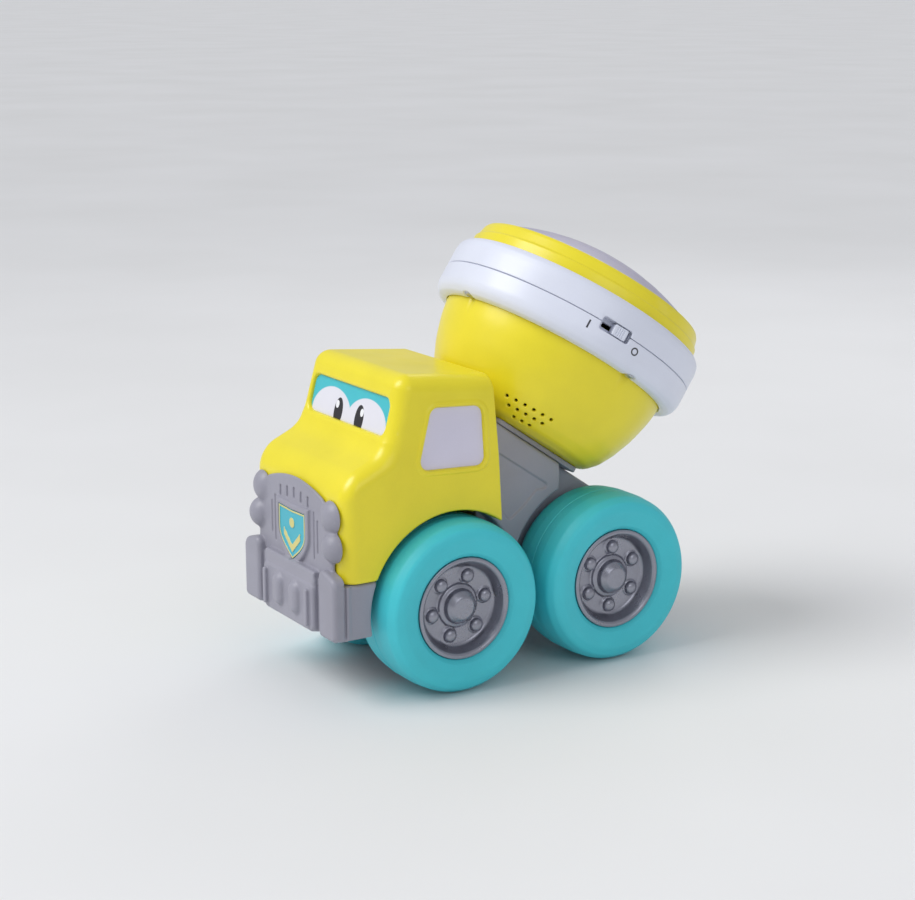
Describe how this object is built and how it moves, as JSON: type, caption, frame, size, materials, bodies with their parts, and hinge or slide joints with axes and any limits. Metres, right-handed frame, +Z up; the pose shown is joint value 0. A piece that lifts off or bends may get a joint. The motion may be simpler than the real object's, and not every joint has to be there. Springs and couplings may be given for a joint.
{
  "type": "toy cement mixer",
  "caption": "Chunky toy mixer truck with free-rolling wheels, a short-nosed cab and a tilted lift-off drum whose domed top is a sprung light-up pad with a key and a power switch.",
  "frame": {"origin": "on the floor under the middle of the toy's outline", "axes": "+X towards the truck's front, +Y to its left, +Z up"},
  "size_m": [0.237, 0.142, 0.223],
  "materials": {
    "yellow_shell": "glossy lemon yellow injection moulding",
    "cool_white": "glossy cool white injection moulding",
    "mid_grey": "satin blue-grey injection moulding",
    "turquoise_wheel": "satin turquoise moulding",
    "silver_hub": "silver-grey painted moulding",
    "window_panel": "pale lilac-grey panel",
    "windscreen": "white panel with a printed turquoise band",
    "crest": "turquoise inlay with a pale border",
    "pad_translucent": "translucent pale lilac dome",
    "orange_key": "glossy orange key",
    "steel": "zinc-plated steel",
    "board": "green circuit board",
    "dark_plastic": "black moulding",
    "cell_wrap": "plain wrapped dry cell",
    "led": "clear lamp body"
  },
  "bodies": {
    "chassis": {"cab_shell": "yellow_shell", "windscreen_panel": "windscreen", "side_window_left": "window_panel", "side_window_right": "window_panel", "front_moulding": "mid_grey", "crest_badge": "crest", "chassis_body": "mid_grey", "base_plate": "mid_grey", "base_screw_1": "steel", "base_screw_2": "steel", "base_screw_3": "steel", "cab_screw_1": "steel", "cab_screw_2": "steel", "drum_cradle": "mid_grey", "cradle_screw_1": "steel", "cradle_screw_2": "steel"},
    "front_wheels": {"front_axle": "steel", "tyre_front_left": "turquoise_wheel", "tyre_front_right": "turquoise_wheel", "hub_front_left": "silver_hub", "hub_front_right": "silver_hub"},
    "rear_wheels": {"rear_axle": "steel", "tyre_rear_left": "turquoise_wheel", "tyre_rear_right": "turquoise_wheel", "hub_rear_left": "silver_hub", "hub_rear_right": "silver_hub"},
    "drum": {"drum_bowl": "yellow_shell", "ring_lower": "cool_white", "ring_upper": "cool_white", "top_ring": "yellow_shell", "ring_screw_1": "steel", "ring_screw_2": "steel", "ring_screw_3": "steel", "ring_screw_4": "steel", "board_carrier": "cool_white", "pad_spring_1": "steel", "pad_spring_2": "steel", "pad_spring_3": "steel", "key_spring": "steel", "circuit_board": "board", "led_1": "led", "led_2": "led", "led_3": "led", "battery_box": "dark_plastic", "battery_1": "cell_wrap", "battery_2": "cell_wrap", "battery_3": "cell_wrap", "battery_cover": "yellow_shell", "speaker": "dark_plastic", "switch_housing": "cool_white"},
    "pad": {"pad_dome": "pad_translucent"},
    "key": {"mode_key": "orange_key"},
    "switch": {"switch_knob": "cool_white"}
  },
  "joints": [
    {"name": "front_axle_spin", "type": "hinge", "parent": "chassis", "child": "front_wheels", "pos_m": [0.0475, 0, 0.044], "axis": [0, 1, 0], "continuous": true},
    {"name": "rear_axle_spin", "type": "hinge", "parent": "chassis", "child": "rear_wheels", "pos_m": [-0.0455, 0, 0.044], "axis": [0, 1, 0], "continuous": true},
    {"name": "drum_lift", "type": "slide", "parent": "chassis", "child": "drum", "axis": [-0.5592, 0, 0.829], "range_m": [0, 0.09]},
    {"name": "pad_press", "type": "slide", "parent": "drum", "child": "pad", "axis": [0.5592, 0, -0.829], "range_m": [0, 0.002], "stiffness_N_per_m": 2000, "springref_m": -0.0006, "deforming": ["pad_spring_1", "pad_spring_2", "pad_spring_3"]},
    {"name": "key_press", "type": "slide", "parent": "drum", "child": "key", "axis": [0.5592, 0, -0.829], "range_m": [0, 0.0015], "stiffness_N_per_m": 700, "springref_m": -0.0006, "deforming": ["key_spring"]},
    {"name": "power_switch_slide", "type": "slide", "parent": "drum", "child": "switch", "axis": [0.7928, -0.2924, 0.5348], "range_m": [0, 0.005]}
  ]
}
